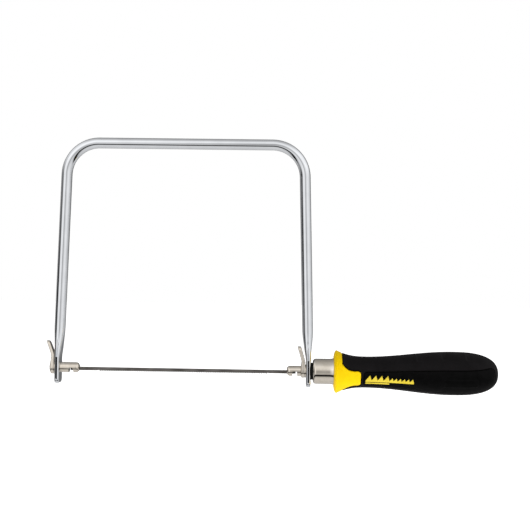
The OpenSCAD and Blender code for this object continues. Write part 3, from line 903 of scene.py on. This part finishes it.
def pad_radius(x, h):
    """Radius of a pad's outside: a rounded border, the mark's field, the knurl and the panel."""
    r = handle_r(x)
    border = inside(x, abs(h), pad_half, pad_x0, pad_x1)
    label = inside(x, abs(h), label_half, pad_x0 + 1.2 * MM, LABEL_X1 - 0.6 * MM)
    panel = badge(x, h)
    textured = smooth((x - LABEL_X1) / (0.5 * MM)) * smooth((border - 0.5 * MM) / (0.6 * MM))
    textured *= 1 - smooth((panel + 0.5 * MM) / (0.4 * MM))
    raised = smooth(panel / (0.3 * MM)) * (1 - 0.6 * smooth((panel - 0.55 * MM) / (0.3 * MM)))
    r -= 0.02 * MM + 0.4 * MM * (1 - smooth(border / (0.7 * MM))) ** 2
    r -= 0.25 * MM * (1 - smooth(abs(x - LABEL_X1) / (0.45 * MM)))
    r -= 0.22 * MM * smooth(label / (0.3 * MM))
    girth = handle_r(x) * math.asin(max(-1, min(1, h / handle_r(x))))
    return r + (knurl(x, girth) - 0.19 * MM) * textured + 0.22 * MM * raised


def pad_stations():
    """Stations along a pad, closest together at its ends and under the knurl."""
    label_end = LABEL_X1 - 1.2 * MM
    xs = offsets(pad_x0, (0.03, 0.12, 0.3, 0.55, 0.85, 1.1, 1.25, 1.4, 1.6, 2, 2.5, 3, 3.6))
    xs += steps(pad_x0 + 4.4 * MM, label_end, 1.2 * MM)
    xs += steps(label_end, pad_x1 - 0.5 * MM, 0.3 * MM)
    return xs + offsets(pad_x1, (-0.3, -0.12, -0.03))


def pad_column(x):
    """A pad's points at a station, closest together at its rims."""
    half = pad_half(x) - 0.12 * MM
    core = half - 0.8 * MM
    rim = offsets(0, (0, 0.12, 0.3, 0.55))
    heights = [d - half for d in rim]
    heights += [core * (2 * t - 1) for t in steps(0, 1, 1 / 62)] + [core]
    heights += [half - d for d in reversed(rim)]
    return [(h, pad_radius(x, h)) for h in heights]


def make_pad(name, node, side, material):
    """A textured pad let into the sleeve's side."""
    place(patch(name, pad_stations(), pad_column, PAD_T, side), "handle", "pad_black", material, node)


def mark_points(x, heights):
    """A mark's points at a station: flat on top, lower at its two edges."""
    low, high = handle_r(x) - 0.16 * MM, handle_r(x) - 0.06 * MM
    return [(h, low if h in (heights[0], heights[-1]) else high) for h in heights]


def make_mark(name, node, side, material):
    """A bar under a row of coarse and fine saw teeth, bent to the handle."""
    coarse, fine, coarse_h, fine_h = 4.25 * MM, 2.88 * MM, 3.9 * MM, 2.4 * MM
    coarse_count, fine_count = 4, 6
    bar_low, bar_high, base, root = -3.8 * MM, -2.6 * MM, -2 * MM, -0.6 * MM
    rim, depth, peak = 0.13 * MM, 0.9 * MM, 0.75
    bar_end = mark_x0 + coarse_count * coarse
    row = [(mark_x0 + i * coarse, coarse, coarse_h) for i in range(coarse_count)]
    row += [(bar_end + i * fine, fine, fine_h) for i in range(fine_count)]
    tops = {x + q * w: root + min(q / peak, (1 - q) / (1 - peak)) * h
            for x, w, h in row for q in (0.001, 0.25, 0.5, peak, 0.88, 0.999)}

    def bar_column(x):
        return mark_points(x, [bar_low, bar_low + rim, (bar_low + bar_high) / 2, bar_high - rim, bar_high])

    def tooth_column(x):
        top = tops[x]
        return mark_points(x, [base, base + rim, mix(base, top, 0.35), mix(base, top, 0.7), top - rim, top])

    bar = patch("bar", [mix(mark_x0, bar_end, i / 24) for i in range(25)], bar_column, depth, side)
    teeth = patch("teeth", list(tops), tooth_column, depth, side)
    place(joined(name, [bar, teeth], sharp=60), "handle", "mark_yellow", material, node)


def make_ferrule(material):
    """A drawn cup with a round front and a slightly belled mouth."""
    r, wall, front, corner, mouth = ferrule_r, 0.8 * MM, 1.2 * MM, 2.2 * MM, 4 * MM
    hole = REAR_SHANK_R + 0.15 * MM
    round_x, mouth_x = ferrule_x0 + corner, ferrule_x1 - mouth
    floor_x = ferrule_x0 + front
    outline = [(ferrule_x0 + 0.2 * MM, hole), (ferrule_x0, hole + 0.2 * MM)]
    outline += arc(round_x, r - corner, corner, 180, 90, 10)
    outline += [(mix(round_x, mouth_x, t), r) for t in (0.3, 0.6, 1)]
    outline += [(mix(mouth_x, ferrule_x1, t), r + 0.5 * MM * t ** 2.5)
                for t in (0.2, 0.4, 0.6, 0.75, 0.88, 0.95)]
    outline += [(ferrule_x1 - 0.04 * MM, r + 0.42 * MM), (ferrule_x1, r + 0.3 * MM), (ferrule_x1, r - wall)]
    outline += [(floor_x + MM, r - wall), (floor_x, r - wall - MM), (floor_x, hole)]
    place(turned("ferrule_cup", outline, loop=True, segments=128), "handle", "nickel", material, "ferrule")


# ---- Stage: floor, lights, world and camera ----------------------------------

FLOOR_DROP = 70 * MM
# The lights: what they are aimed at, their offsets in metres and their watts
AIM = (mid_x + 90 * MM, 0, 60 * MM)
LIGHTS = (("key", (-0.3, -1.0, 0.9), 5), ("fill", (0.7, -0.9, 0.3), 2.5), ("back", (0.1, 0.9, 0.8), 4))
LAMP_SIZE = 0.8
# The camera: lens in millimetres, place, and turns in degrees
LENS = 65
CAMERA_AT = (mid_x + 74.3 * MM, -700 * MM, 71.4 * MM)
YAW, PITCH, ROLL = 1.25, 0.46, 0.83
# The studio that the metal reflects: (place, brightness) stops.
# In front, by height, from straight down (0) to straight up (1). The table's edge is black.
IN_FRONT = ((0, 0.8), (0.054, 0.79), (0.11, 0.68), (0.155, 0.4), (0.18, 0), (0.262, 0), (0.3, 0.5),
            (0.36, 0.76), (0.45, 0.77), (0.53, 0.8), (0.61, 0.94), (0.69, 1.15), (0.83, 1.1), (0.89, 0.97),
            (0.94, 0.75), (1, 0.56))
# Behind, what is left of it: dim above, plain below
BEHIND = ((0, 1), (0.17, 0.82), (0.45, 0.52), (0.78, 0.26), (1, 0.24))
BELOW_BEHIND = 0.72
# Near the horizon, by bearing, from behind (0) by the left, the front (0.5) and the right
BY_BEARING = ((0, 0.05), (0.08, 0.1), (0.136, 0.75), (0.19, 0.35), (0.23, 0.03), (0.325, 0.03), (0.36, 1.3),
              (0.45, 1.35), (0.48, 0.9), (0.496, 0.5), (0.515, 0.6), (0.55, 1), (0.62, 1.35), (0.683, 1.15),
              (0.76, 0.95), (0.864, 0.6), (0.92, 0.1), (1, 0.05))
SOFT_LEVEL = 0.32


def make_floor():
    """A pale floor well under the saw, left out of the metal's reflections."""
    bm = bmesh.new()
    bmesh.ops.create_grid(bm, x_segments=1, y_segments=1, size=3)
    floor = finish_mesh(bm, "floor")
    floor.location = (mid_x, 1, cad_bounds[0][2] - FLOOR_DROP)
    paper = Surface("pale paper", Emission_Color=(1, 1, 1, 1), Emission_Strength=0.8)
    paper.colour(paper.noise(3), (0.88, 0.88, 0.88), (0.92, 0.92, 0.92))
    paper.roughness(paper.noise(40), 0.8, 0.9)
    floor.data.materials.append(paper.material)
    floor.visible_glossy = False


def area_light(name, offset, power):
    """A round lamp aimed at the saw, left out of the metal's reflections."""
    light = bpy.data.lights.new(name, "AREA")
    light.shape, light.size, light.energy = "DISK", LAMP_SIZE, power
    lamp = bpy.data.objects.new(name, light)
    lamp.location = Vector((mid_x, 0, 0)) + Vector(offset)
    lamp.rotation_euler = (Vector(AIM) - lamp.location).to_track_quat("-Z", "Y").to_euler()
    lamp.visible_glossy = False
    bpy.context.scene.collection.objects.link(lamp)


def make_world():
    """White to the camera, a studio in reflections, and an even soft light to everything else."""
    world = bpy.data.worlds.new("studio")
    bpy.context.scene.world = world
    world.use_nodes = True
    tree = world.node_tree
    tree.nodes.clear()

    def node(kind, settings=None, **sockets):
        """A new node, with its settings made and its sockets linked or set."""
        made = tree.nodes.new(kind)
        for key, value in (settings or {}).items():
            setattr(made, key, value)
        return feed(tree, made, **sockets)

    def ramp(source, stops):
        """The brightness that the stops give at the source's value."""
        made = node("ShaderNodeValToRGB", Fac=source)
        elements = made.color_ramp.elements
        while len(elements) < len(stops):
            elements.new(0.5)
        for element, (position, value) in zip(elements, stops):
            element.position = position
            element.color = (value, value, value, 1)
        return made.outputs["Color"]

    def maths(operation, a, b=0):
        return node("ShaderNodeMath", {"operation": operation}, socket0=a, socket1=b).outputs["Value"]

    def spread(source, low, high):
        """From 0 to 1 as the source goes from low to high."""
        return node("ShaderNodeMapRange", Value=source, From_Min=low, From_Max=high).outputs["Result"]

    def between(a, b, factor):
        return node("ShaderNodeMix", {"data_type": "FLOAT"}, Factor=factor, A=a, B=b).outputs["Result"]

    def background(strength, colour=(1, 1, 1, 1)):
        return node("ShaderNodeBackground", Color=colour, Strength=strength).outputs[0]

    def choose(rays, others, chosen):
        """One shader for that kind of rays, another for the others."""
        return node("ShaderNodeMixShader", Fac=path.outputs[rays], socket1=others, socket2=chosen).outputs[0]

    split = node("ShaderNodeSeparateXYZ", Vector=node("ShaderNodeTexCoord").outputs["Generated"])
    x, y, z = (split.outputs[i] for i in range(3))
    front = ramp(spread(z, -1, 1), IN_FRONT)
    above_behind = maths("MULTIPLY", ramp(y, BEHIND), front)
    behind = between(BELOW_BEHIND, above_behind, spread(z, -0.05, 0.2))
    by_height = between(front, behind, spread(y, -0.05, 0.05))
    bearing = spread(maths("ARCTAN2", x, maths("MULTIPLY", y, -1)), -math.pi, math.pi)
    nearly_level = maths("POWER", maths("SUBTRACT", 1, maths("ABSOLUTE", z)), 2)
    studio = maths("MULTIPLY", by_height, between(1, ramp(bearing, BY_BEARING), nearly_level))
    path = node("ShaderNodeLightPath")
    light = choose("Is Glossy Ray", background(SOFT_LEVEL), background(1, studio))
    node("ShaderNodeOutputWorld", Surface=choose("Is Camera Ray", light, background(1)))


def make_camera():
    """A long lens in front of the saw, turned a little left, up and round its own axis."""
    yaw, pitch, roll = (math.radians(a) for a in (YAW, PITCH, ROLL))
    right = Vector((math.cos(yaw), math.sin(yaw), 0))
    ahead = Vector((-math.sin(yaw), math.cos(yaw), 0))
    up = Vector((0, 0, 1))
    ahead, up = math.cos(pitch) * ahead + math.sin(pitch) * up, math.cos(pitch) * up - math.sin(pitch) * ahead
    right, up = math.cos(roll) * right + math.sin(roll) * up, math.cos(roll) * up - math.sin(roll) * right
    camera = bpy.data.objects.new("camera", bpy.data.cameras.new("camera"))
    camera.data.lens = LENS
    camera.data.dof.use_dof = False
    turn = Matrix((right, up, -ahead)).transposed().to_4x4()
    camera.matrix_world = Matrix.Translation(CAMERA_AT) @ turn
    bpy.context.scene.collection.objects.link(camera)
    bpy.context.scene.camera = camera


# ---- The whole saw -----------------------------------------------------------

def make_saw():
    """Every piece, on its own body."""
    nickel = nickel_plate()
    yellow = moulded_yellow("moulded yellow", (0.90, 0.595, 0.001), (0.94, 0.645, 0.002))
    mark_yellow = moulded_yellow("mark yellow", (0.68, 0.52, 0.04), (0.76, 0.60, 0.06))
    pin, rubber, pad = pin_steel(), smooth_rubber(), textured_rubber()
    make_frame(chrome_plate())
    make_blade(blade_steel())
    make_blade_pin("front_cross_pin", "blade_pin_front", front_pin_x, pin)
    make_blade_pin("rear_cross_pin", "blade_pin_rear", rear_pin_x, pin)
    make_front_spigot(nickel)
    make_rear_spigot(nickel)
    make_lever("front_lever_tab", "front_lever", "front_holder", span("front_washer")[0] - FRONT_LEVER_T,
               FRONT_LEVER_T, 2.3 * MM, 22, 8 * MM, FRONT_SHANK_R, nickel)
    make_lever("rear_lever_tab", "rear_lever", "rear_holder", span("rear_lever")[1] - REAR_LEVER_T,
               REAR_LEVER_T, 2.7 * MM, 17, 6 * MM, REAR_SHANK_R, nickel)
    front_bore, rear_bore = FRONT_SHANK_R + RUNNING_GAP, REAR_SHANK_R + RUNNING_GAP
    make_washer("front_thin_washer", "front_washer", "front_holder", front_bore, "nickel", nickel, 0.1 * MM)
    make_washer("rear_thin_washer", "rear_washer", "rear_holder", rear_bore, "nickel", nickel, 0.1 * MM)
    make_washer("thrust_ring", "thrust_washer", "thrust_ring", rear_bore, "washer_black", washer_nylon(),
                0.3 * MM)
    make_ferrule(nickel)
    make_core(yellow)
    make_sleeve(rubber)
    for side, word in ((1, "left"), (-1, "right")):
        make_pad("textured_pad_" + word, "side_pad_" + word, side, pad)
        make_mark("saw_tooth_mark_" + word, "side_mark_" + word, side, mark_yellow)
    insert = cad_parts["threaded_insert"]
    insert.data.materials.clear()
    insert.data.materials.append(insert_brass())


make_camera()
make_saw()
make_floor()
make_world()
for light_name, light_offset, light_power in LIGHTS:
    area_light(light_name, light_offset, light_power)
bpy.context.scene.view_settings.view_transform = "Standard"
